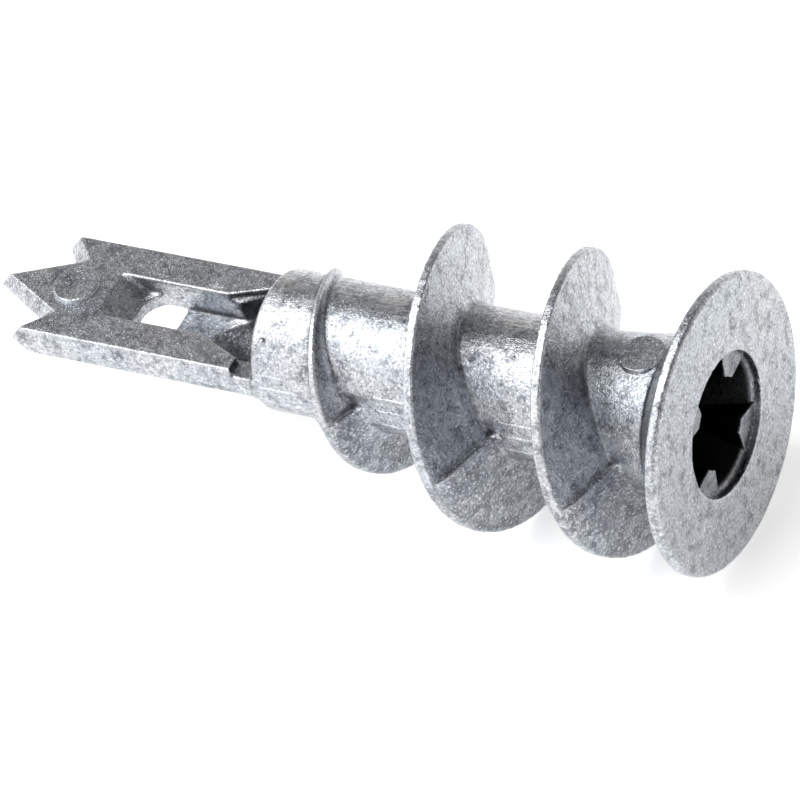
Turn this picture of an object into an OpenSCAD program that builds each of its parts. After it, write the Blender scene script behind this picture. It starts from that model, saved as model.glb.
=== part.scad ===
// Self-drilling wall anchor for plasterboard, a single zinc die casting.
// The axis lies along X. The front face of the head is at x = 0, and +X points out of the wall.
// The drill blade lies in the XY plane, which is also the plane where the two die halves meet.
// Each node is one region of the casting, and neighbouring regions meet face to face.

/* [Head] */
// Diameter of the head
head_d = 12.2; // [11:0.1:16]
// Height of the straight rim of the head
head_rim = 0.33; // [0.2:0.01:0.8]
// Chamfer at the front edge of the head
head_chamfer = 0.13; // [0.05:0.01:0.3]
// Depth from the front face to the end of the conical underside
head_depth = 2.1; // [1.6:0.05:3]
// Diameter of the driver recess at the front face
recess_d = 5.9; // [5:0.1:6.6]
// Depth of the step just inside the recess mouth
recess_step = 0.45; // [0.35:0.05:0.8]
// Radial width of the step just inside the recess mouth
recess_ledge = 0.2; // [0.1:0.05:0.35]
// How far the narrowing recess runs on behind the head before it meets the bore
throat_len = 1.5; // [0.8:0.1:2.2]

/* [Drive ribs] */
// Number of ribs in the driver recess
rib_count = 4; // [4]
// Angle of the first rib from the blade normal
rib_angle = 47; // [30:1:60]
// How far the tips of the ribs stand back from the line of the bore
rib_clear = 0.06; // [0:0.01:0.3]
// Width of a rib where it meets the recess wall
rib_base_w = 2.3; // [1.6:0.1:2.6]
// Width of a rib at its tip
rib_tip_w = 0.6; // [0.4:0.05:1]
// Distance from the front face back to the ribs
rib_setback = 0.3; // [0.15:0.05:0.6]

/* [Shank] */
// Outer diameter of the shank
shank_d = 5.8; // [5:0.1:7]
// Depth of the flat along each side of the shank, where the die halves meet
flat_depth = 0.1; // [0.05:0.01:0.2]
// How far the collar flares out beyond the shank, just under the head
collar_flare = 0.35; // [0.1:0.05:0.8]
// Length of the flared collar behind the head
collar_len = 2.9; // [2.4:0.1:4]
// Length of the nose, the end part of the tube that carries the lead-in thread
nose_len = 4; // [3:0.1:5]
// Distance from the start of the thread to the end of the tube
nose_gap = 1.09; // [0.8:0.01:4]
// Chamfer at the end of the tube
nose_chamfer = 0.15; // [0.05:0.05:0.3]
// Diameter of the bore that takes the screw
bore_d = 3.6; // [3:0.05:3.8]
// Height of the flash line along the parting line
seam_h = 0.06; // [0.03:0.01:0.15]
// Width of the flash line along the parting line
seam_w = 0.22; // [0.1:0.02:0.5]
// Gap between an end of the flash line and the nearest thread root
seam_gap = 0.1; // [0.05:0.05:0.3]

/* [Thread] */
// Outer diameter of the full thread
thread_d = 12.06; // [10:0.02:15]
// Distance from one turn to the next
thread_pitch = 5.65; // [4.6:0.05:7]
// Distance from the front face to the end of the thread, under the head
thread_end = 1.96; // [1.8:0.02:2.6]
// Thickness of the thread at its rim
thread_rim = 0.4; // [0.25:0.05:0.7]
// How much each flank leans out for each millimetre towards the shank
flank_lean = 0.075; // [0.03:0.005:0.12]
// Size of the blend at the root of the thread
root_blend = 0.2; // [0:0.05:0.3]
// How far the drafted foot of each flight spreads along the shank at the parting line
foot_spread = 0.6; // [0.2:0.05:0.9]
// Angle over which the rim grows to full height
growth_angle = 420; // [300:10:480]
// How much lower the full rim is on the far side, where the gate was trimmed
far_trim = 0.65; // [0:0.05:1]

/* [Blade] */
// Length of the blade from the end of the tube to the tip of the centre point
blade_len = 13.45; // [11:0.05:18]
// How far the edges of the blade stand back from the flats of the shank
blade_inset = 0.03; // [0:0.01:0.2]
// Thickness of the blade
blade_t = 1.4; // [1:0.1:2]
// How far the parting ridge stands out on each edge of the blade
edge_ridge = 0.06; // [0:0.01:0.12]
// Distance from the tip of the centre point back to the tips of the spurs
spur_back = 1.9; // [1.2:0.1:2.6]
// Distance from the tip of the centre point back to the valleys
valley_back = 2.8; // [2.4:0.1:3.4]
// Distance of each valley from the axis
valley_y = 1.55; // [1.2:0.05:1.8]
// Length of the bevel from the parting plane to a blade face
bevel_len = 0.8; // [0.4:0.05:1]
// Length of the bevel at the tip of the centre point
point_bevel = 0.6; // [0.3:0.05:0.8]
// Length of the bevel at the tip of a spur
spur_bevel = 0.64; // [0.4:0.02:0.8]
// Distance from the edge of the blade in to the tip of a spur
spur_inset = 0.15; // [0.05:0.05:0.4]
// Length over which the tip of a spur rounds back to the edge of the blade
spur_round = 0.25; // [0.1:0.05:0.5]
// Diameter of the ejector pad on the blade
pad_d = 2; // [1.4:0.1:2.2]
// Height of the ejector pad on the blade
pad_h = 0.2; // [0.1:0.05:0.4]
// Gap between the valleys and the ejector pad
pad_gap = 0.05; // [0:0.05:0.4]
// Gap between the ejector pad and the top of the ramp
ramp_gap = 0.5; // [0.1:0.05:1]

/* [Window] */
// Width of the window in the blade
window_w = 2.3; // [1.8:0.1:2.8]
// Corner radius at the rounded end of the slot
slot_r = 0.9; // [0.5:0.1:1]
// Length of the sloping ramp at the tip end of the window
ramp_len = 1.2; // [0.8:0.1:1.4]
// How far the foot of the ramp lies below the parting plane
ramp_foot = 0.06; // [0.02:0.02:0.2]
// Distance from the end of the tube to the start of the widening pocket
pocket_len = 3.1; // [2.4:0.1:3.6]
// Wall left between the widening pocket and the edge of the blade at the tube
pocket_wall = 0.32; // [0.2:0.02:0.6]
// Height of the pocket floor above the parting plane
pocket_floor = 0.32; // [0.1:0.02:0.45]
// Length of the lowered shoulder where an arm meets the tube
shoulder_len = 1; // [0.5:0.1:1.6]
// Length of the bridge under the window
bridge_len = 5.3; // [4:0.1:5.8]
// How far the bridge stands back from the outside of the tube
bridge_step = 0.2; // [0.05:0.05:0.4]
// Diameter of the bridge at its free end
bridge_end_d = 3.4; // [3:0.1:4]
// Length of the tapered end of the bore
funnel_len = 2; // [1.4:0.1:2.4]
// Distance from the end of the tube to the tapered end of the bore
funnel_start = 1.5; // [1:0.1:1.8]

/* [Marks] */
// Diameter of the ejector mark on the collar
mark_d = 1.9; // [1.2:0.1:2.2]
// Gap between the back of the head and the ejector mark on the collar
mark_gap = 0; // [0:0.05:0.5]
// Diameter of the cast nub near the end of the tube
nub_d = 0.34; // [0.2:0.02:0.5]
// Height of the cast nub near the end of the tube
nub_h = 0.12; // [0.06:0.02:0.2]
// Distance from the end of the tube to the cast nub
nub_back = 0.58; // [0.4:0.02:1]
// Angle of the cast nub from the blade normal
nub_angle = 46; // [20:1:65]

/* [Hidden] */
$fn = 96;
zinc = [0.66, 0.67, 0.71];
bright = [0.78, 0.78, 0.82];

// Cuts run this far past the faces that they go through
past = 0.5;
head_r = head_d / 2;
recess_r = recess_d / 2;
shank_r = shank_d / 2;
collar_r = shank_r + collar_flare;
bore_r = bore_d / 2;
thread_r = thread_d / 2;
flat_y = shank_r - flat_depth;
half_t = blade_t / 2;
half_w = flat_y - blade_inset;
half_window = window_w / 2;
rim_back = head_chamfer + head_rim;
recess_depth = head_depth + throat_len;
collar_end = head_depth + collar_len;
mark_x = head_depth + mark_gap + mark_d / 2;
// Radius of the recess where it passes from the head into the collar
throat_r = bore_r + (recess_r - recess_ledge - bore_r)
           * (recess_depth - head_depth) / (recess_depth - recess_step);
turns = 3;
// The thread runs for three whole turns, and its lead-in crosses the top a quarter turn on
shank_len = thread_end + turns * thread_pitch + nose_gap;
thread_first = thread_end + (turns - 0.25) * thread_pitch;
nose_start = shank_len - nose_len;
overall_len = shank_len + blade_len;
valley_x = overall_len - valley_back;
web_end = valley_x - bevel_len;
pad_x = valley_x - pad_gap - pad_d / 2;
// Top of the ramp and rounded end of the slot
ramp_top = pad_x - pad_d / 2 - ramp_gap;
slot_end = ramp_top - ramp_len;
flight_steps = 24;
flank_steps = 6;
// The flights are drawn from this far below the flats, and the core is cut away from them
root_sink = 0.3;
// Height of the rim where the thread starts, as a share of its full height
rim_start = 0.1;
// The thread is never drawn lower than this
least_height = 0.05;
// Thickness of the lowest rim, as a share of the full rim
thin_rim = 0.4;
// How quickly the trimmed stretch of the rim falls away on each side
trim_power = 5;
// How quickly the blend at the root runs out towards the rim
blend_power = 4;

// A solid of revolution about X, from points of [radius, x]
module revolve(points) {
    rotate([0, 90, 0]) rotate_extrude() polygon(points);
}

// A plate outline in XY, from z0 up to z1
module plate(points, z0, z1) {
    translate([0, 0, z0]) linear_extrude(z1 - z0) polygon(points);
}

// Everything between the flats of the shank
module between_flats() {
    translate([-shank_len - past, -flat_y, -shank_r - past])
        cube([shank_len + 2 * past, 2 * flat_y, 2 * (shank_r + past)]);
}

// Outside of the head and shank with the bore filled in
module core() {
    revolve([[0, 0], [head_r, 0], [head_r, -rim_back], [collar_r, -head_depth],
             [shank_r, -collar_end], [0, -collar_end]]);
    intersection() {
        revolve([[0, -collar_end], [shank_r, -collar_end],
                 [shank_r, -shank_len], [0, -shank_len]]);
        between_flats();
    }
}

module flange() {
    color(bright)
        revolve([[recess_r, 0], [head_r - head_chamfer, 0], [head_r, -head_chamfer],
                 [head_r, -rim_back], [collar_r, -head_depth], [throat_r, -head_depth],
                 [recess_r - recess_ledge, -recess_step], [recess_r, -recess_step]]);
}

// One wedge in the recess, from its set-back front to where the recess meets the bore
module drive_rib(number) {
    tip_r = bore_r + rib_clear;
    color(bright)
        difference() {
            intersection() {
                revolve([[0, -rib_setback], [recess_r, -rib_setback], [recess_r, -recess_step],
                         [recess_r - recess_ledge, -recess_step], [bore_r, -recess_depth],
                         [0, -recess_depth]]);
                rotate([-rib_angle - (number - 1) * 360 / rib_count, 0, 0])
                    rotate([0, -90, 0])
                        linear_extrude(recess_depth)
                            polygon([[bore_r / 2, -rib_tip_w / 2], [tip_r, -rib_tip_w / 2],
                                     [recess_r, -rib_base_w / 2], [recess_r, rib_base_w / 2],
                                     [tip_r, rib_tip_w / 2], [bore_r / 2, rib_tip_w / 2]]);
            }
            revolve([[0, past], [tip_r, past], [tip_r, -recess_depth - past],
                     [0, -recess_depth - past]]);
        }
}

module shank_collar() {
    color(zinc)
        revolve([[throat_r, -head_depth], [collar_r, -head_depth], [shank_r, -collar_end],
                 [bore_r, -collar_end], [bore_r, -recess_depth]]);
}

// A length of tube between two distances from the front face, with an end chamfer if asked
module tube(from, to, chamfer = 0) {
    color(zinc)
        intersection() {
            revolve([[bore_r, -from], [shank_r, -from], [shank_r, chamfer - to],
                     [shank_r - chamfer, -to], [bore_r, -to]]);
            between_flats();
        }
}

module shank_barrel() { tube(collar_end, nose_start); }

module shank_nose() { tube(nose_start, shank_len, nose_chamfer); }

// Angle at which a flight crosses the root radius on its way to the rim, in pitch units
root_lag = thread_pitch / 360 * asin(shank_r / thread_r);
root_half = thread_rim / 2 + flank_lean * (thread_r - shank_r) + root_blend;
seam_clear = root_half + seam_gap;

// Plain stretches of the shank on one side, as [start, length] in x
function seam_runs(side) =
    let (before = side < 0 ? root_lag : -root_lag,
         after = thread_pitch / 2 - before,
         stops = [for (k = [0 : turns - 1]) k * thread_pitch - thread_first])
    concat([[-shank_len + nose_chamfer, stops[0] + before - seam_clear]],
           side < 0
           ? [for (k = [0 : turns - 2]) [stops[k] + after + seam_clear,
                                         stops[k + 1] + before - seam_clear]]
           : [for (k = [0 : turns - 1]) [stops[k] + before + seam_clear,
                                         min(stops[k] + after - seam_clear, -collar_end)]]);

// Flash line on one side, broken where the thread leaves the shank
module seam(side) {
    color(bright)
        for (run = seam_runs(side))
            if (run[1] > run[0])
                translate([run[0], side < 0 ? -flat_y - seam_h : flat_y, -seam_w / 2])
                    cube([run[1] - run[0], seam_h, seam_w]);
}

module seam_near() { seam(-1); }
module seam_far() { seam(1); }

// The thread is measured by its angle from +Z towards -Y, 0 at the lead-in's upper crossing.
// Its rim grows smoothly from the shank to full height, and is trimmed lower on the far side.
function rim_r(angle) =
    let (t = min(1, (angle + 90) / growth_angle),
         trim = pow(max(0, -sin(angle)), trim_power))
    shank_r + max(rim_start, t * t * (3 - 2 * t)) * (thread_r - shank_r - far_trim * trim);

// Middle of a flank at one angle and radius, for the flank on one side of a half turn. Where the
// die can follow the helix, the flank is a helix with some draft. Where it would lock in the die,
// it runs straight along Z from the rim instead. Odd halves are below the parting plane.
function flank_x(half, angle, r, side) =
    let (local = angle - 180 * half,
         rim = rim_r(angle),
         straight = asin(min(1, r / rim) * sin(local)),
         free = side * local > 0,
         height = max(least_height, rim - shank_r),
         depth = min(1, max(0, rim - r) / height) * min(1, height / (thread_r - shank_r)))
    -thread_first + thread_pitch / 360 * (180 * half + (free ? local : straight))
    + (free ? side * foot_spread * depth * pow(sin(local), 2) : 0);

// Half thickness of a flight, blended out near the shank
function flight_half(angle, r) =
    let (rim = rim_r(angle), height = max(least_height, rim - shank_r),
         share = min(1, max(0, (r - shank_r) / height)))
    thread_rim / 2 * min(1, thin_rim + height / (thread_r - shank_r))
    + flank_lean * (rim - r) + root_blend * min(1, height) * pow(1 - share, blend_power);

function flight_point(half, angle, step, side) =
    let (inner = flat_y - root_sink,
         r = inner + (rim_r(angle) - inner) * step / flank_steps)
    [flank_x(half, angle, r, side) + side * flight_half(angle, r),
     -r * sin(angle), r * cos(angle)];

// One half turn, swept from one parting line to the other
module half_flight(half) {
    ring = 2 * (flank_steps + 1);
    points = [for (i = [0 : flight_steps])
                let (angle = 180 * half - 90 + 180 * i / flight_steps)
                each concat([for (j = [0 : flank_steps]) flight_point(half, angle, j, -1)],
                            [for (j = [flank_steps : -1 : 0]) flight_point(half, angle, j, 1)])];
    sides = [for (i = [0 : flight_steps - 1], j = [0 : ring - 1])
                let (a = i * ring + j, b = i * ring + (j + 1) % ring)
                each [[a, b, b + ring], [a, b + ring, a + ring]]];
    last = flight_steps * ring;
    ends = [for (j = [0 : flank_steps - 1])
                let (m = ring - 1 - j)
                each [[j, m, m - 1], [j, m - 1, j + 1],
                      [last + j, last + m - 1, last + m], [last + j, last + j + 1, last + m - 1]]];
    color(zinc)
        difference() {
            polyhedron(points = points, faces = concat(sides, ends), convexity = 4);
            core();
        }
}

module lead_in_upper() { half_flight(0); }
module lead_in_lower() { half_flight(1); }
module second_turn_upper() { half_flight(2); }
module second_turn_lower() { half_flight(3); }
module third_turn_upper() { half_flight(4); }
module third_turn_lower() { half_flight(5); }

// Blade stock between two distances and two widths, with the parting ridge on its outer edge
module stock(from, to, y0, y1) {
    outer = y1 >= half_w ? half_w + edge_ridge : y1;
    inner = y0 <= -half_w ? -half_w - edge_ridge : y0;
    translate([-to, 0, 0])
        rotate([90, 0, 90])
            linear_extrude(to - from)
                polygon([[y0, -half_t], [y1, -half_t], [outer, 0],
                         [y1, half_t], [y0, half_t], [inner, 0]]);
}

// Bore with its tapered end, which opens into the window
module bore_cut() {
    revolve([[0, -shank_len + past], [bore_r, -shank_len + past],
             [bore_r, -shank_len - funnel_start],
             [half_t, -shank_len - funnel_start - funnel_len],
             [0, -shank_len - funnel_start - funnel_len]]);
}

// One side of the window, with the pocket and the lowered shoulder at the tube
module arm(side) {
    color(zinc)
        mirror([0, side > 0 ? 0 : 1, 0])
            difference() {
                stock(shank_len, slot_end - slot_r, half_window, half_w);
                bore_cut();
                plate([[-shank_len + past, 0],
                       [-shank_len + past, half_w - pocket_wall],
                       [-shank_len, half_w - pocket_wall],
                       [-shank_len - pocket_len, half_window],
                       [-shank_len - pocket_len, 0]],
                      pocket_floor, half_t + past);
                plate([[-shank_len + past, 0], [-shank_len + past, half_w + past],
                       [-shank_len - shoulder_len, half_w + past],
                       [-shank_len - shoulder_len, 0]],
                      pocket_floor, half_t + past);
            }
}

module arm_near() { arm(-1); }
module arm_far() { arm(1); }

// Tip end of the blade behind the teeth, with the ramp and the rounded end of the slot
module tip_web() {
    round_x = -slot_end + slot_r;
    round_y = half_window - slot_r;
    color(zinc)
        difference() {
            stock(slot_end - slot_r, web_end, -half_w, half_w);
            translate([0, 0, -half_t - past])
                linear_extrude(blade_t + 2 * past) {
                    for (side = [-1, 1]) translate([round_x, side * round_y]) circle(slot_r);
                    polygon([[-slot_end, -round_y], [-slot_end, round_y],
                             [round_x + past, round_y], [round_x + past, -round_y]]);
                }
            rotate([90, 0, 0])
                translate([0, 0, -half_window])
                    linear_extrude(window_w)
                        polygon([[-slot_end, -ramp_foot], [-ramp_top, half_t],
                                 [-ramp_top, half_t + past],
                                 [round_x + past, half_t + past], [round_x + past, -ramp_foot]]);
        }
}

// A tooth between the web and its edge in the parting plane, bevelled to both faces
module tooth(root, mid, face) {
    points = concat([for (p = root, z = [-half_t, half_t]) [p[0], p[1], z]],
                    [for (p = mid) [p[0], p[1], 0]],
                    [for (p = face, z = [-half_t, half_t]) [p[0], p[1], z]]);
    color(bright)
        hull() polyhedron(points = points,
                          faces = [for (k = [1 : len(points) - 2]) [0, k, k + 1]]);
}

module centre_point() {
    tooth([[-web_end, -valley_y], [-web_end, valley_y]],
          [[-valley_x, -valley_y], [-valley_x, valley_y], [-overall_len, 0]],
          [[-overall_len + point_bevel, 0]]);
}

module spur(side) {
    tip_x = -overall_len + spur_back;
    tip_y = half_w - spur_inset;
    mirror([0, side > 0 ? 0 : 1, 0])
        tooth([[-web_end, valley_y], [-web_end, half_w]],
              [[-web_end, half_w + edge_ridge], [-valley_x, valley_y],
               [tip_x, tip_y], [tip_x + spur_round, half_w + edge_ridge]],
              [[tip_x + spur_bevel, tip_y], [tip_x + bevel_len, half_w]]);
}

module spur_near() { spur(-1); }
module spur_far() { spur(1); }

// Half cone under the window that joins both arms to the tube
module bridge() {
    color(zinc)
        difference() {
            revolve([[0, -shank_len], [shank_r - bridge_step, -shank_len],
                     [bridge_end_d / 2, -shank_len - bridge_len], [0, -shank_len - bridge_len]]);
            bore_cut();
            translate([-shank_len - bridge_len - past, -shank_r, -half_t])
                cube([bridge_len + 2 * past, shank_d, shank_d]);
        }
}

module blade_pad() {
    color(bright)
        translate([-pad_x, 0, half_t]) cylinder(h = pad_h, d = pad_d);
}

// Flat round mark on the cone of the collar, proud of it on the thread side only
module collar_mark() {
    color(bright)
        difference() {
            translate([-mark_x, 0, shank_r]) cylinder(h = collar_r - shank_r, d = mark_d);
            core();
        }
}

module nose_nub() {
    color(bright)
        difference() {
            translate([-shank_len + nub_back, 0, 0])
                rotate([nub_angle, 0, 0]) cylinder(h = shank_r + nub_h, d = nub_d);
            core();
        }
}

flange();
drive_rib(1);  // drive_rib_1
drive_rib(2);  // drive_rib_2
drive_rib(3);  // drive_rib_3
drive_rib(4);  // drive_rib_4
shank_collar();
shank_barrel();
shank_nose();
seam_near();
seam_far();
lead_in_upper();
lead_in_lower();
second_turn_upper();
second_turn_lower();
third_turn_upper();
third_turn_lower();
arm_near();
arm_far();
tip_web();
centre_point();
spur_near();
spur_far();
bridge();
blade_pad();
collar_mark();
nose_nub();
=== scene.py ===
import math

import bmesh
import bpy
import numpy as np
from mathutils import Matrix, Vector, noise
from mathutils.kdtree import KDTree


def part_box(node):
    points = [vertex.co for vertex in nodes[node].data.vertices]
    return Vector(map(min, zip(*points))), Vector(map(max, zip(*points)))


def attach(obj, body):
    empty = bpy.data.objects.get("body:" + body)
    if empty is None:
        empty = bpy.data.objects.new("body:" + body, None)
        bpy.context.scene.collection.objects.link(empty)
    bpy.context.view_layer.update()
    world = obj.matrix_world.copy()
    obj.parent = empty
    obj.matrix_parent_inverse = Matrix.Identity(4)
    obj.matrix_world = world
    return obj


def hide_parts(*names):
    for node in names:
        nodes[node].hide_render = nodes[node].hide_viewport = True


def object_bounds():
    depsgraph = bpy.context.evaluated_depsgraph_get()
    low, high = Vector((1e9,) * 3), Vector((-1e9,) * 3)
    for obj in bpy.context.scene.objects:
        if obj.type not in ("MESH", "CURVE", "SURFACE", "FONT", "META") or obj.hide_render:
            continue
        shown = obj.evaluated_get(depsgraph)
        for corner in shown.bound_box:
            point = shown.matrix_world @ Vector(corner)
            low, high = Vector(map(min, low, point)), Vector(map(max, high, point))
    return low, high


# A zinc wall anchor on a pale floor. The casting is one continuous skin, grown over all the CAD
# regions so that they meet in soft cast blends, and then cut back into one piece per region.

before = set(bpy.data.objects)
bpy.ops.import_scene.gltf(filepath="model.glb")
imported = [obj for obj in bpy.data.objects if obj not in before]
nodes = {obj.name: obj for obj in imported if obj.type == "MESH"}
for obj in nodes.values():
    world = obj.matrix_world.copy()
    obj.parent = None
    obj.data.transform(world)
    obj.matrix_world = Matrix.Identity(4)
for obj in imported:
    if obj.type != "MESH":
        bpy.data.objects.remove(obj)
cad_low, cad_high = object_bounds()
MM = 0.001

# ---- Camera ----
CAMERA_AZIMUTH = 38.87
CAMERA_ELEVATION = 42.741
CAMERA_ROLL = -17.497
CAMERA_LENS = 335.2
CAMERA_DISTANCE = 298.07 * MM
CAMERA_AIM = Vector((-14.84, -0.53, -1.73)) * MM
CAMERA_SENSOR = 36
# Nearest and farthest that the camera sees, in metres.
CAMERA_REACH = (0.01, 10)


def add_camera():
    """A long lens at the studio angle, rolled about its own axis."""
    azimuth, elevation, roll = (math.radians(a) for a in
                                (CAMERA_AZIMUTH, CAMERA_ELEVATION, CAMERA_ROLL))
    right = Vector((math.cos(azimuth), math.sin(azimuth), 0))
    back = Vector((math.sin(azimuth) * math.cos(elevation),
                   -math.cos(azimuth) * math.cos(elevation), math.sin(elevation)))
    up = back.cross(right)
    turned_right = right * math.cos(roll) + up * math.sin(roll)
    turned_up = up * math.cos(roll) - right * math.sin(roll)
    data = bpy.data.cameras.new("camera")
    data.sensor_width = CAMERA_SENSOR
    data.lens = CAMERA_LENS
    data.clip_start, data.clip_end = CAMERA_REACH
    camera = bpy.data.objects.new("camera", data)
    bpy.context.scene.collection.objects.link(camera)
    turn = Matrix((turned_right, turned_up, back)).transposed().to_4x4()
    camera.matrix_world = Matrix.Translation(CAMERA_AIM + back * CAMERA_DISTANCE) @ turn
    bpy.context.scene.camera = camera


# ---- Mesh helpers ----
# How much each CAD solid is grown before it is melted with its neighbours.
OVERLAP = 0.01 * MM
# Vertices of one solid that are this close, in metres, are one vertex.
WELD = 1e-8
# Share of the way to its neighbours that a vertex moves in one round of smoothing.
SMOOTH_SHARE = 0.5


def new_object(name, mesh):
    thing = bpy.data.objects.new(name, mesh)
    bpy.context.scene.collection.objects.link(thing)
    return thing


def applied(thing):
    """The mesh of an object with its modifiers applied. The object itself is removed."""
    graph = bpy.context.evaluated_depsgraph_get()
    mesh = bpy.data.meshes.new_from_object(thing.evaluated_get(graph))
    bpy.data.objects.remove(thing)
    return mesh


def vectors_of(items, key):
    """An array with one vector for each vertex or face."""
    flat = np.empty(len(items) * 3, np.float32)
    items.foreach_get(key, flat)
    return flat.reshape(-1, 3)


def whole_numbers_of(items, key):
    """An array with one whole number for each face or face corner."""
    values = np.empty(len(items), np.int32)
    items.foreach_get(key, values)
    return values


def mesh_from(shape, name):
    """A Blender mesh made from a bmesh, which is freed."""
    mesh = bpy.data.meshes.new(name)
    shape.to_mesh(mesh)
    shape.free()
    return mesh


def melt(thing, voxel, rounds):
    """Melts overlapping solids into one skin and rounds its edges."""
    remesh = thing.modifiers.new("remesh", "REMESH")
    remesh.mode = "VOXEL"
    remesh.voxel_size = voxel
    smooth = thing.modifiers.new("smooth", "SMOOTH")
    smooth.factor = SMOOTH_SHARE
    smooth.iterations = rounds


def joined_nodes(names):
    """One mesh of several CAD nodes, each grown a hair so that neighbours overlap."""
    whole = bmesh.new()
    for name in names:
        part = bmesh.new()
        part.from_mesh(nodes[name].data)
        bmesh.ops.remove_doubles(part, verts=part.verts, dist=WELD)
        bmesh.ops.recalc_face_normals(part, faces=part.faces)
        part.normal_update()
        for vertex in part.verts:
            vertex.co += vertex.normal * OVERLAP
        mesh = mesh_from(part, name)
        whole.from_mesh(mesh)
        bpy.data.meshes.remove(mesh)
    return mesh_from(whole, "joined")


# ---- Wear and painted crease shade ----
# Rounds of blur that set how wide a worn edge or a band of painted crease shade is.
SKIN_WEAR_AND_SHADE_ROUNDS = 4
SMALL_WEAR_AND_SHADE_ROUNDS = 2
WEAR_AND_SHADE_SOFTENING = 2


def curvature(mesh, rounds):
    """How far each vertex stands out from its neighbours: edges above 0, creases below 0."""
    co = vectors_of(mesh.vertices, "co")
    pairs = np.empty(len(mesh.edges) * 2, np.int32)
    mesh.edges.foreach_get("vertices", pairs)
    pairs = pairs.reshape(-1, 2)
    count = np.bincount(pairs.ravel(), minlength=len(co)).astype(np.float32)

    def around(values):
        total = np.zeros_like(values)
        for k in range(values.shape[1]):
            total[:, k] = (np.bincount(pairs[:, 0], values[pairs[:, 1], k], len(co))
                           + np.bincount(pairs[:, 1], values[pairs[:, 0], k], len(co)))
        return total / count[:, None]

    normals = vectors_of(mesh.vertices, "normal")
    blurred = co
    for _ in range(rounds):
        blurred = around(blurred)
    out = ((co - blurred) * normals).sum(1, keepdims=True)
    for _ in range(WEAR_AND_SHADE_SOFTENING):
        out = around(out)
    return out[:, 0] / MM


def store_wear_and_crease_shade(mesh, values):
    """The curvature of each vertex, which the zinc materials read as edge wear and as painted
    shade in creases.
    """
    attribute = mesh.attributes.new("wear_and_crease_shade", "FLOAT", "POINT")
    attribute.data.foreach_set("value", values.astype(np.float32))


# ---- The skin ----
VOXEL = 0.07 * MM
SMOOTHING = 4
KEEP_FACES = 0.4
# Cast unevenness: [waves per mm, height in mm].
ROUGH_FORM = [(1.0 / 1.3, 0.012), (1.0 / 0.35, 0.005)]

SKIN_NODES = ["flange", "shank_collar", "shank_barrel", "shank_nose",
              "lead_in_upper", "lead_in_lower", "second_turn_upper", "second_turn_lower",
              "third_turn_upper", "third_turn_lower",
              "arm_near", "arm_far", "tip_web", "centre_point", "spur_near", "spur_far", "bridge"]


def grow_skin():
    """The skin of the whole casting, with the CAD regions melted together."""
    thing = new_object("skin", joined_nodes(SKIN_NODES))
    melt(thing, VOXEL, SMOOTHING)
    lighten = thing.modifiers.new("lighten", "DECIMATE")
    lighten.ratio = KEEP_FACES
    return applied(thing)


def unsettle(mesh):
    """Each vertex moves up to two hundredths of a millimetre, and back by the overlap."""
    co = vectors_of(mesh.vertices, "co")
    rise = np.array([[sum(depth * noise.noise(place * scale) for scale, depth in ROUGH_FORM)]
                     for place in map(Vector, co / MM)], np.float32)
    co += vectors_of(mesh.vertices, "normal") * (rise * MM - OVERLAP)
    mesh.vertices.foreach_set("co", co.ravel())
    mesh.update()


# ---- Materials ----
ZINC = (0.43, 0.455, 0.49, 1)
ZINC_WARM = (0.46, 0.47, 0.49, 1)
ZINC_DARK = (0.13, 0.142, 0.16, 1)
ZINC_WORN = (0.80, 0.81, 0.84, 1)
# Dark colour for the pits and for painted shade in the creases.
PIT_GRIME_AND_CREASE_SHADE = (0.045, 0.05, 0.055, 1)
# Near-black painted shade inside the recess and the bore.
PAINTED_HOLLOW_SHADE = (0.02, 0.021, 0.023, 1)

# Noise patterns: scale per mm, detail, roughness.
BLOTCH = (1.7, 5.0, 0.7)
DRIFT = (0.28, 2.0, 0.5)
FLECK = (8.0, 3.0, 0.75)
DUST = (16.0, 2.0, 0.6)
CRYSTALS_PER_MM = 2.6
PITS_PER_MM = 2.2

# Where a layer fades in: from and to on its pattern, then its least and greatest share.
PIT_SIZE = (0.13, 0.05)
PIT_PLACES = (0.5, 0.6)
EDGE_SHAPE = (0.01, 0.05)
EDGE_PATCHES = (0.38, 0.55)
# The crease layer is painted shade: it darkens where the skin curves inward.
CREASE_SHAPE = (-0.006, -0.03)
CREASE_PATCHES = (0.3, 0.5, 0.55, 1.0)
WARM_AREAS = (0.42, 0.6)
DARK_AREAS = (0.46, 0.62)
DARK_CRYSTALS = (0.0, 1.0, 0.45, 0.95)
DARK_FLECKS = (0.53, 0.66, 0.0, 0.8)
BRIGHT_FLECKS = (0.46, 0.34, 0.0, 0.7)

# Roughness of the brightest and the dullest crystal, and what the layers add to it.
SMOOTHEST, ROUGHEST = 0.13, 0.27
FLECK_ROUGHNESS = (0.35, 0.65, -0.05, 0.08)
CREASE_ROUGHNESS = 0.25
EDGE_ROUGHNESS = 0.12

# Share of each pattern in the relief, and the height that a share of 1 stands for.
FLECK_RELIEF = 1.0
DUST_RELIEF = 0.45
BLOTCH_RELIEF = 1.3
PIT_RELIEF = 0.8
RELIEF_HEIGHT = 0.02 * MM

# The painted shade inside, in mm: how far under the outside it starts, and how softly it fades.
RECESS_MARGIN = 0.02
TUBE_MARGIN = 0.45
NECK_FADE = 0.1
WALL_FADE = (-0.02, 0.12)
MOUTH_FADE = (-0.15, -0.5)
TUBE_END_FADE = (-0.4, 0.2)

# Sockets of the Mix node for colours. Its modes share their names, so they go by number.
MIX_SHARE, MIX_A, MIX_B, MIX_RESULT = 0, 6, 7, 2


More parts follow.
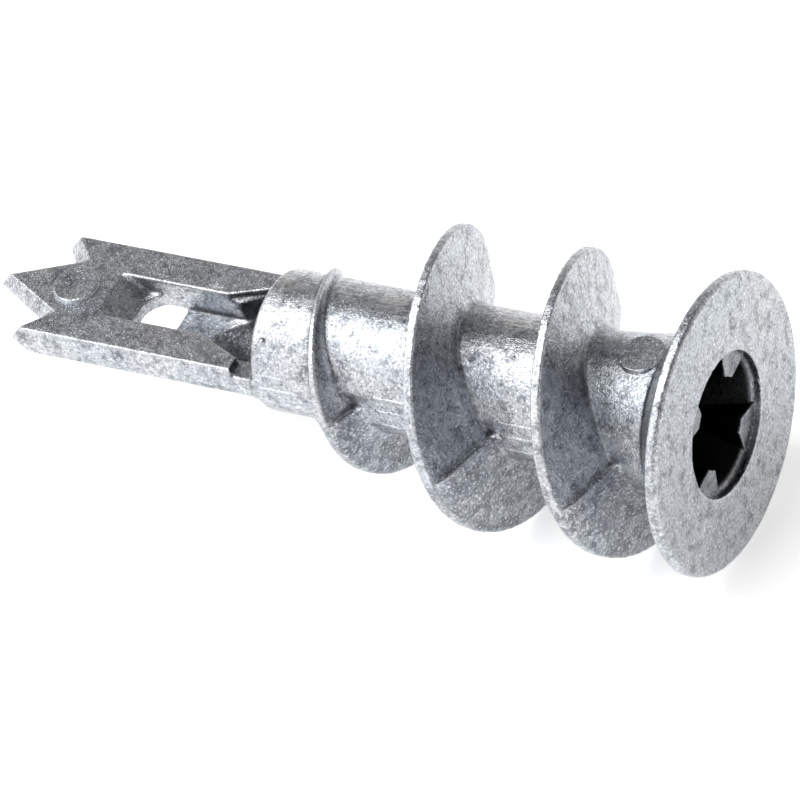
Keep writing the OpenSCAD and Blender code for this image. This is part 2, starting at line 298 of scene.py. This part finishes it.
def add_node(tree, kind, inputs=None, **settings):
    """A new shader node with its settings, and its inputs linked or set to a value."""
    made = tree.nodes.new(kind)
    for key, value in settings.items():
        setattr(made, key, value)
    for key, value in (inputs or {}).items():
        if isinstance(value, bpy.types.NodeSocket):
            tree.links.new(value, made.inputs[key])
        else:
            made.inputs[key].default_value = value
    return made


def remap(tree, value, low, high, to_low=0.0, to_high=1.0):
    """A value stretched from one range to another, and held at its ends."""
    made = add_node(tree, "ShaderNodeMapRange",
                    {"Value": value, "From Min": low, "From Max": high,
                     "To Min": to_low, "To Max": to_high})
    return made.outputs["Result"]


def combine(tree, operation, a, b):
    """One step of arithmetic on two values."""
    made = add_node(tree, "ShaderNodeMath", {0: a, 1: b}, operation=operation)
    return made.outputs["Value"]


def weighted_sum(tree, total, *terms):
    """A start value plus each value times its weight."""
    for value, weight in terms:
        total = combine(tree, "ADD", total, combine(tree, "MULTIPLY", value, weight))
    return total


def blend_colour(tree, share, a, b):
    """Colour a where share is 0 and colour b where it is 1."""
    made = add_node(tree, "ShaderNodeMix", {MIX_SHARE: share, MIX_A: a, MIX_B: b},
                    data_type="RGBA")
    return made.outputs[MIX_RESULT]


def speckle(tree, place, scale, detail, roughness):
    """Cloudy noise from 0 to 1."""
    made = add_node(tree, "ShaderNodeTexNoise",
                    {"Vector": place, "Scale": scale, "Detail": detail, "Roughness": roughness})
    return made.outputs["Fac"]


def cells(tree, place, scale):
    """Crystal cells, each with its own colour and the distance from its middle."""
    return add_node(tree, "ShaderNodeTexVoronoi", {"Vector": place, "Scale": scale})


def zinc(name, polish=0.0, shade_spread=0.0):
    """As-cast zinc: blotches, crystal spangle, fine grain, pits, worn edges and painted shade in
    creases.
    polish makes it smoother, and shade_spread spreads the dark blotches, which is used as painted
    shade."""
    material = bpy.data.materials.new(name)
    material.use_nodes = True
    tree = material.node_tree
    shader = tree.nodes["Principled BSDF"]
    shader.inputs["Metallic"].default_value = 1
    position = add_node(tree, "ShaderNodeTexCoord").outputs["Object"]
    place = add_node(tree, "ShaderNodeVectorMath", {0: position, "Scale": 1 / MM},
                     operation="SCALE").outputs["Vector"]
    blotch, drift, fleck, dust = (speckle(tree, place, *pattern)
                                  for pattern in (BLOTCH, DRIFT, FLECK, DUST))
    crystal = add_node(tree, "ShaderNodeSeparateColor",
                       {"Color": cells(tree, place, CRYSTALS_PER_MM).outputs["Color"]})
    crystal_tone = crystal.outputs["Red"]
    pit_distance = cells(tree, place, PITS_PER_MM).outputs["Distance"]
    pit = combine(tree, "MULTIPLY", remap(tree, pit_distance, *PIT_SIZE),
                  remap(tree, blotch, *PIT_PLACES))
    wear_and_crease_shade = add_node(tree, "ShaderNodeAttribute", attribute_name="wear_and_crease_shade").outputs["Fac"]
    edge = combine(tree, "MULTIPLY", remap(tree, wear_and_crease_shade, *EDGE_SHAPE),
                   remap(tree, fleck, *EDGE_PATCHES))
    # Painted shade: creases are darkened where the skin curves inward.
    crease = combine(tree, "MULTIPLY", remap(tree, wear_and_crease_shade, *CREASE_SHAPE),
                     remap(tree, blotch, *CREASE_PATCHES))
    dark = combine(tree, "MULTIPLY", remap(tree, blotch, *(end - shade_spread for end in DARK_AREAS)),
                   remap(tree, crystal_tone, *DARK_CRYSTALS))

    colour = blend_colour(tree, remap(tree, drift, *WARM_AREAS), ZINC, ZINC_WARM)
    # The last layer paints shade near black inside the recess and the bore.
    for share, layer in ((dark, ZINC_DARK),
                         (remap(tree, fleck, *DARK_FLECKS), ZINC_DARK),
                         (remap(tree, fleck, *BRIGHT_FLECKS), ZINC_WORN),
                         (edge, ZINC_WORN),
                         (pit, PIT_GRIME_AND_CREASE_SHADE),
                         (crease, PIT_GRIME_AND_CREASE_SHADE),
                         (painted_inside_shade_mask(tree, place), PAINTED_HOLLOW_SHADE)):
        colour = blend_colour(tree, share, colour, layer)
    tree.links.new(colour, shader.inputs["Base Color"])

    crystal_range = (0.0, 1.0, SMOOTHEST - polish, ROUGHEST - polish)
    rough = weighted_sum(tree, remap(tree, crystal_tone, *crystal_range),
                         (remap(tree, fleck, *FLECK_ROUGHNESS), 1.0),
                         (crease, CREASE_ROUGHNESS), (edge, EDGE_ROUGHNESS))
    tree.links.new(rough, shader.inputs["Roughness"])

    height = weighted_sum(tree, 0.0, (fleck, FLECK_RELIEF), (dust, DUST_RELIEF),
                          (blotch, BLOTCH_RELIEF), (pit, -PIT_RELIEF))
    bump = add_node(tree, "ShaderNodeBump", {"Height": height, "Strength": 1.0,
                                             "Distance": RELIEF_HEIGHT})
    tree.links.new(bump.outputs["Normal"], shader.inputs["Normal"])
    return material


def painted_inside_shade_mask(tree, place):
    """1 inside the recess and the bore, which are painted near black as shade, and 0 outside."""
    neck = edge_x("flange", 0) / MM
    tube_end = edge_x("shank_nose", 0) / MM
    recess_r = max(v.co.yz.length for v in nodes["drive_rib_1"].data.vertices) / MM
    tube_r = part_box("shank_barrel")[1][2] / MM
    parts = add_node(tree, "ShaderNodeSeparateXYZ", {"Vector": place})
    across = combine(tree, "ADD", combine(tree, "POWER", parts.outputs["Y"], 2.0),
                     combine(tree, "POWER", parts.outputs["Z"], 2.0))
    radius = combine(tree, "SQRT", across, 0.0)
    in_head = remap(tree, parts.outputs["X"], neck - NECK_FADE, neck + NECK_FADE)
    limit = remap(tree, in_head, 0.0, 1.0, tube_r - TUBE_MARGIN, recess_r - RECESS_MARGIN)
    inward = remap(tree, combine(tree, "SUBTRACT", limit, radius), *WALL_FADE)
    deep = remap(tree, parts.outputs["X"], *MOUTH_FADE)
    before_end = remap(tree, parts.outputs["X"], *(tube_end + fade for fade in TUBE_END_FADE))
    return combine(tree, "MULTIPLY", inward, combine(tree, "MULTIPLY", deep, before_end))


# ---- Cutting the skin into regions ----
# Beyond the part: across it, and along it.
FAR = 8 * MM
END = 1
# How far outside the shank the flights are cut off, so that each keeps its blended foot.
ROOT = 0.13 * MM
CUTTER_SIDES = 128


def box_cutter(low, high):
    """A box between two corners."""
    shape = bmesh.new()
    bmesh.ops.create_cube(shape, size=1)
    for vertex in shape.verts:
        for k in range(3):
            vertex.co[k] = low[k] if vertex.co[k] < 0 else high[k]
    return mesh_from(shape, "box")


def lathe_cutter(profile):
    """A solid of revolution about X from [x, r] points, all with r above 0."""
    shape = bmesh.new()
    rings = []
    for k in range(CUTTER_SIDES):
        angle = 2 * math.pi * k / CUTTER_SIDES
        rings.append([shape.verts.new((x, r * math.cos(angle), r * math.sin(angle)))
                      for x, r in profile])
    for k, a in enumerate(rings):
        b = rings[(k + 1) % CUTTER_SIDES]
        for j in range(len(profile) - 1):
            shape.faces.new((a[j], a[j + 1], b[j + 1], b[j]))
    shape.faces.new([ring[0] for ring in rings])
    shape.faces.new([ring[-1] for ring in reversed(rings)])
    bmesh.ops.recalc_face_normals(shape, faces=shape.faces)
    return mesh_from(shape, "lathe")


def carve(mesh, cutter, operation):
    """The mesh cut by a cutter. Faces made by the cut have material 1."""
    for m in (mesh, cutter):
        m.materials.clear()
    mesh.materials.append(bpy.data.materials["skin_side"])
    mesh.materials.append(bpy.data.materials["cut_side"])
    cutter.materials.append(bpy.data.materials["cut_side"])
    thing, tool = new_object("carved", mesh.copy()), new_object("tool", cutter)
    cut = thing.modifiers.new("cut", "BOOLEAN")
    cut.operation = operation
    cut.object = tool
    cut.solver = "MANIFOLD"
    result = applied(thing)
    bpy.data.objects.remove(tool)
    return result


def edge_x(name, side):
    """Low (0) or high (1) end of a CAD node along X."""
    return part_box(name)[side][0]


def split_skin(skin):
    """One closed mesh for each region of the skin."""
    for side in ("skin_side", "cut_side"):
        bpy.data.materials.new(side)
    neck = edge_x("flange", 0)
    collar = edge_x("shank_collar", 0)
    nose = edge_x("shank_barrel", 0)
    tube = edge_x("shank_nose", 0)
    web = edge_x("tip_web", 1)
    teeth = edge_x("centre_point", 1)
    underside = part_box("bridge")[1][2]
    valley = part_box("centre_point")[1][1]
    shank_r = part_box("shank_barrel")[1][2]
    collar_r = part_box("shank_collar")[1][2]
    flare = (collar_r - shank_r) / (neck - collar)

    def between(mesh, x0, x1, y0=-FAR, y1=FAR, z0=-FAR, z1=FAR):
        """The part of a mesh inside a box."""
        return carve(mesh, box_cutter((x0, y0, z0), (x1, y1, z1)), "INTERSECT")

    parts = {"flange": between(skin, neck, FAR)}
    shank = between(skin, tube, neck)
    blade = between(skin, -END, tube)
    core_profile = [(-END, shank_r + ROOT), (collar, shank_r + ROOT),
                    (neck + MM, collar_r + ROOT + flare * MM)]
    core = carve(shank, lathe_cutter(core_profile), "INTERSECT")
    flights = carve(shank, lathe_cutter(core_profile), "DIFFERENCE")
    parts["shank_collar"] = between(core, collar, FAR)
    parts["shank_barrel"] = between(core, nose, collar)
    parts["shank_nose"] = between(core, -END, nose)
    turns = ["lead_in", "second_turn", "third_turn"]
    for side, z0, z1 in (("upper", 0, FAR), ("lower", -FAR, 0)):
        names = [f"{turn}_{side}" for turn in turns]
        gaps = [(edge_x(a, 1) + edge_x(b, 0)) / 2 for a, b in zip(names, names[1:])]
        stops = [-END, *gaps, FAR]
        for name, x0, x1 in zip(names, stops, stops[1:]):
            parts[name] = between(flights, x0, x1, z0=z0, z1=z1)
    parts["bridge"] = between(blade, web, END, z1=underside)
    upper = between(blade, web, END, z0=underside)
    parts["arm_near"] = between(upper, -END, END, y1=0)
    parts["arm_far"] = between(upper, -END, END, y0=0)
    parts["tip_web"] = between(blade, teeth, web)
    tips = between(blade, -END, teeth)
    parts["centre_point"] = between(tips, -END, END, y0=-valley, y1=valley)
    parts["spur_near"] = between(tips, -END, END, y1=-valley)
    parts["spur_far"] = between(tips, -END, END, y0=valley)
    return parts


def finish_piece(name, mesh, material):
    """A new piece that stands for the CAD node of that name."""
    mesh.materials.clear()
    mesh.materials.append(material)
    mesh.polygons.foreach_set("material_index", np.zeros(len(mesh.polygons), np.int32))
    piece = new_object("cast_" + name, mesh)
    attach(piece, "root")
    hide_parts(name)


def dress(name, mesh, tree, wear_and_crease_shade, skin_normals, material):
    """A region as a finished piece: edge wear, painted crease shade and smooth normals come from
    the uncut skin.
    """
    near = np.array([tree.find(co)[1] for co in vectors_of(mesh.vertices, "co")], np.int32)
    store_wear_and_crease_shade(mesh, wear_and_crease_shade[near])
    mesh.shade_smooth()
    corner_vertex = whole_numbers_of(mesh.loops, "vertex_index")
    corner_face = np.repeat(np.arange(len(mesh.polygons)),
                            whole_numbers_of(mesh.polygons, "loop_total"))
    on_skin = whole_numbers_of(mesh.polygons, "material_index")[corner_face] == 0
    face_normals = vectors_of(mesh.polygons, "normal")
    custom = np.where(on_skin[:, None], skin_normals[near[corner_vertex]],
                      face_normals[corner_face])
    mesh.normals_split_custom_set(custom.tolist())
    finish_piece(name, mesh, material)


# ---- Small pieces ----
RIB_VOXEL = 0.04 * MM
MARK_VOXEL = 0.035 * MM
SMALL_SMOOTHING = 3

RIDGE_STEP = 0.12 * MM
RIDGE_LEAST_STEPS = 4
RIDGE_SINK = 0.03 * MM
RIDGE_SIDES = 6
RIDGE_STRAY = 0.05 * MM
# Bends and bumps of a ridge per mm, and its least and varying share of the full height.
RIDGE_BENDS, RIDGE_BUMPS = 2.1, 5.3
RIDGE_EVEN, RIDGE_UNEVEN = 0.75, 0.5
# Share of the full height at the ends of a ridge, and the rise along one whole run.
RIDGE_END, RIDGE_RISE = 0.15, 4
# Width, height, how far the ridge starts under the flat, and the seed of its unevenness.
MIDDLE_RIDGE = (0.15 * MM, 0.045 * MM, 0, 10)
LOWER_RIDGE = (0.13 * MM, 0.04 * MM, 0.01 * MM, -20)
UPPER_RIDGE = (0.13 * MM, 0.04 * MM, 0.01 * MM, 20)
RIDGE_WEAR = 0.02

PAD_SIDES, PAD_RIM_STEPS = 64, 5
PAD_SINK = 0.1 * MM
PAD_ROUND = 0.09 * MM
PAD_DISH = 0.02 * MM
# Rings of the pad as shares of its radius: one under it, and those on its dished top.
PAD_UNDERSIDE = 0.6
PAD_RINGS = (0.8, 0.65, 0.5, 0.35, 0.2, 0.1, 0)
NUB_SIDES, NUB_STEPS = 32, 8
NUB_SINK = 0.06 * MM
NUB_FOOT = 0.02 * MM
NUB_TALL = 0.17 * MM
NUB_UNDERSIDE = 0.98


def soften(name, voxel, material):
    """A small CAD node with its edges rounded as cast."""
    thing = new_object(name + "_soft", joined_nodes([name]))
    melt(thing, voxel, SMALL_SMOOTHING)
    mesh = applied(thing)
    mesh.shade_smooth()
    store_wear_and_crease_shade(mesh, curvature(mesh, SKIN_WEAR_AND_SHADE_ROUNDS))
    finish_piece(name, mesh, material)


def seam_runs(name):
    """The stretches of a CAD seam node along X, from its block ends."""
    ends = sorted({round(v.co.x / MM, 3) for v in nodes[name].data.vertices})
    return [(a * MM, b * MM) for a, b in zip(ends[::2], ends[1::2])]


def add_ridge(shape, run, run_number, side, y, z, form):
    """One raised line along X on the flat, uneven like flash, sunk a little into the shank."""
    width, height, under, form_seed = form
    seed = run_number + form_seed
    steps = max(RIDGE_LEAST_STEPS, round((run[1] - run[0]) / RIDGE_STEP))
    rings = []
    for k in range(steps + 1):
        x = run[0] + (run[1] - run[0]) * k / steps
        fade = min(1, RIDGE_RISE * min(k, steps - k) / steps + RIDGE_END)
        stray = noise.noise(Vector((x / MM * RIDGE_BENDS, seed, 0))) * RIDGE_STRAY
        bump = noise.noise(Vector((x / MM * RIDGE_BUMPS, seed, 4)))
        tall = height * fade * (RIDGE_EVEN + RIDGE_UNEVEN * bump)
        ring = []
        for j in range(RIDGE_SIDES):
            angle = math.pi * j / (RIDGE_SIDES - 1)
            ring.append(shape.verts.new((x, y + side * (tall * math.sin(angle) - under),
                                         z + width / 2 * math.cos(angle) + stray)))
        for offset in (-1, 1):
            ring.append(shape.verts.new((x, y - side * (RIDGE_SINK + under),
                                         z + offset * width / 2 + stray)))
        rings.append(ring)
    for a, b in zip(rings, rings[1:]):
        for j in range(len(a)):
            n = (j + 1) % len(a)
            shape.faces.new((a[j], a[n], b[n], b[j]))
    shape.faces.new(rings[0])
    shape.faces.new(list(reversed(rings[-1])))


def add_seam(name, material):
    """The flash line in the middle of the flat and a finer line along each of its edges."""
    low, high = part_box(name)
    side = 1 if low[1] > 0 else -1
    flat = low[1] if side > 0 else high[1]
    shank_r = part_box("shank_barrel")[1][2]
    half_flat = math.sqrt(shank_r ** 2 - flat ** 2)
    shape = bmesh.new()
    for k, run in enumerate(seam_runs(name)):
        add_ridge(shape, run, k, side, flat, 0, MIDDLE_RIDGE)
        add_ridge(shape, run, k, side, flat, -half_flat, LOWER_RIDGE)
        add_ridge(shape, run, k, side, flat, half_flat, UPPER_RIDGE)
    bmesh.ops.recalc_face_normals(shape, faces=shape.faces)
    mesh = mesh_from(shape, name)
    mesh.shade_smooth()
    store_wear_and_crease_shade(mesh, np.full(len(mesh.vertices), RIDGE_WEAR))
    finish_piece(name, mesh, material)


def lathe(profile, steps, axis, centre):
    """A closed solid turned about an axis, from [r, height] points that start and end at r = 0."""
    turn = Vector((0, 0, 1)).rotation_difference(axis).to_matrix()
    shape = bmesh.new()
    bottom = shape.verts.new(centre + turn @ Vector((0, 0, profile[0][1])))
    top = shape.verts.new(centre + turn @ Vector((0, 0, profile[-1][1])))
    angles = [2 * math.pi * k / steps for k in range(steps)]
    rings = [[shape.verts.new(centre + turn @ Vector((r * math.cos(a), r * math.sin(a), h)))
              for a in angles] for r, h in profile[1:-1]]
    for k in range(steps):
        n = (k + 1) % steps
        shape.faces.new((bottom, rings[0][n], rings[0][k]))
        shape.faces.new((top, rings[-1][k], rings[-1][n]))
        for a, b in zip(rings, rings[1:]):
            shape.faces.new((a[k], a[n], b[n], b[k]))
    bmesh.ops.recalc_face_normals(shape, faces=shape.faces)
    mesh = mesh_from(shape, "lathe")
    mesh.shade_smooth()
    store_wear_and_crease_shade(mesh, curvature(mesh, SMALL_WEAR_AND_SHADE_ROUNDS))
    return mesh


def quarter(steps):
    """Cosine and sine at even steps over a quarter turn, without its end."""
    return [(math.cos(math.pi / 2 * k / steps), math.sin(math.pi / 2 * k / steps))
            for k in range(steps)]


def add_pad(material):
    """The ejector pad: a low disc with a soft rim, dished a hair in the middle."""
    low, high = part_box("blade_pad")
    centre = Vector(((low[0] + high[0]) / 2, 0, low[2]))
    r = (high[0] - low[0]) / 2
    tall = high[2] - low[2]
    profile = [(0, -PAD_SINK), (r * PAD_UNDERSIDE, -PAD_SINK), (r, -PAD_SINK)]
    profile += [(r - PAD_ROUND + PAD_ROUND * c, tall - PAD_ROUND + PAD_ROUND * s)
                for c, s in [*quarter(PAD_RIM_STEPS), (0, 1)]]
    profile += [(r * share, tall - PAD_DISH * (1 - share ** 2)) for share in PAD_RINGS]
    mesh = lathe(profile, PAD_SIDES, Vector((0, 0, 1)), centre)
    finish_piece("blade_pad", mesh, material)


def add_nub(material):
    """The little cast bump near the end of the tube."""
    low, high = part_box("nose_nub")
    middle = (low + high) / 2
    axis = Vector((0, middle[1], middle[2])).normalized()
    shank_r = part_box("shank_barrel")[1][2]
    base = Vector((middle[0], 0, 0)) + axis * (shank_r - NUB_SINK)
    r = (high[0] - low[0]) / 2
    profile = [(0, 0), (r * NUB_UNDERSIDE, 0)]
    profile += [(r * c, NUB_FOOT + NUB_TALL * s) for c, s in quarter(NUB_STEPS)]
    profile.append((0, NUB_FOOT + NUB_TALL))
    mesh = lathe(profile, NUB_SIDES, axis, base)
    finish_piece("nose_nub", mesh, material)


# ---- The casting ----
WORN_NODES = ["flange", "centre_point", "spur_near", "spur_far"]
# The lower half-flights get darker zinc as painted shade on their lower side.
LOWER_SHADE_NODES = ["lead_in_lower", "second_turn_lower", "third_turn_lower"]
WORN_POLISH = 0.04
LOWER_SHADE_POLISH = -0.03
LOWER_SHADE = 0.14


def build_casting():
    """All the pieces: the regions of the skin first, then the small ones."""
    skin = grow_skin()
    unsettle(skin)
    wear_and_crease_shade = curvature(skin, SKIN_WEAR_AND_SHADE_ROUNDS)
    normals = vectors_of(skin.vertices, "normal")
    tree = KDTree(len(skin.vertices))
    for k, co in enumerate(vectors_of(skin.vertices, "co")):
        tree.insert(co, k)
    tree.balance()
    plain = zinc("zinc")
    worn = zinc("worn_zinc", polish=WORN_POLISH)
    shaded_lower = zinc("shaded_lower_zinc", polish=LOWER_SHADE_POLISH, shade_spread=LOWER_SHADE)
    for name, mesh in split_skin(skin).items():
        if name in WORN_NODES:
            dress(name, mesh, tree, wear_and_crease_shade, normals, worn)
        else:
            material = shaded_lower if name in LOWER_SHADE_NODES else plain
            dress(name, mesh, tree, wear_and_crease_shade, normals, material)
    for name in sorted(nodes):
        if name.startswith("drive_rib"):
            soften(name, RIB_VOXEL, worn)
    soften("collar_mark", MARK_VOXEL, worn)
    add_seam("seam_near", worn)
    add_seam("seam_far", worn)
    add_pad(worn)
    add_nub(worn)


# ---- Studio ----
FLOOR_HALF = 2.0
FLOOR_GREY = 0.9
FLOOR_ROUGHNESS = 0.9
FLOOR_GLOW = 0.5

# Direction from the object, size, brightness and colour of each light.
LAMP_DISTANCE = 0.4
KEY = ((-0.461, -0.17, 0.871), (0.42, 0.28), 4.7, (1, 1, 1))
FILL = ((-0.461, -0.75, 0.47), (0.42, 0.30), 1.3, (0.93, 0.96, 1))

# Colour of the room by height, from the horizon (0) to straight up (1).
ROOM = ((0.0, (0.95, 0.90, 0.84, 1)),
        (1.0, (0.10, 0.10, 0.11, 1)),
        (0.3, (0.85, 0.83, 0.81, 1)),
        (0.64, (0.45, 0.44, 0.43, 1)),
        (0.72, (0.04, 0.045, 0.05, 1)),
        (0.8, (0.04, 0.045, 0.05, 1)),
        (0.88, (0.22, 0.23, 0.24, 1)))


def add_floor():
    """A pale floor that glows a little, so that its shadows stay faint."""
    mesh = bpy.data.meshes.new("floor")
    z = cad_low[2]
    corners = ((-1, -1), (1, -1), (1, 1), (-1, 1))
    mesh.from_pydata([(FLOOR_HALF * x, FLOOR_HALF * y, z) for x, y in corners],
                     [], [(0, 1, 2, 3)])
    floor = new_object("floor", mesh)
    material = bpy.data.materials.new("floor")
    material.use_nodes = True
    shader = material.node_tree.nodes["Principled BSDF"]
    shader.inputs["Base Color"].default_value = (FLOOR_GREY, FLOOR_GREY, FLOOR_GREY, 1)
    shader.inputs["Roughness"].default_value = FLOOR_ROUGHNESS
    shader.inputs["Specular IOR Level"].default_value = 0.0
    shader.inputs["Emission Color"].default_value = (1, 1, 1, 1)
    shader.inputs["Emission Strength"].default_value = FLOOR_GLOW
    mesh.materials.append(material)


def add_softbox(name, toward, size, brightness, colour):
    """A soft light that faces the object. brightness is its radiance."""
    data = bpy.data.lights.new(name, "AREA")
    data.shape = "RECTANGLE"
    data.size, data.size_y = size
    data.energy = brightness * math.pi * size[0] * size[1]
    data.color = colour
    lamp = bpy.data.objects.new(name, data)
    bpy.context.scene.collection.objects.link(lamp)
    direction = Vector(toward).normalized()
    lamp.location = CAMERA_AIM + direction * LAMP_DISTANCE
    along = direction.cross(Vector((1, 0, 0))).normalized()
    across = along.cross(direction)
    lamp.rotation_euler = Matrix((across, along, direction)).transposed().to_euler()


def add_room():
    """Bright at the horizon, with a dark band high up that the metal mirrors as a dark streak."""
    world = bpy.data.worlds.new("studio")
    world.use_nodes = True
    tree = world.node_tree
    direction = add_node(tree, "ShaderNodeTexCoord").outputs["Generated"]
    height = add_node(tree, "ShaderNodeSeparateXYZ", {"Vector": direction}).outputs["Z"]
    ramp = add_node(tree, "ShaderNodeValToRGB", {"Fac": height})
    stops = ramp.color_ramp.elements
    for stop, (place, colour) in zip(stops, ROOM):
        stop.position = place
        stop.color = colour
    for place, colour in ROOM[2:]:
        stops.new(place).color = colour
    tree.links.new(ramp.outputs["Color"], tree.nodes["Background"].inputs["Color"])
    bpy.context.scene.world = world


def add_studio():
    add_floor()
    add_softbox("key_softbox", *KEY)
    add_softbox("fill_softbox", *FILL)
    add_room()
    bpy.context.scene.view_settings.view_transform = "Standard"


add_camera()
build_casting()
add_studio()
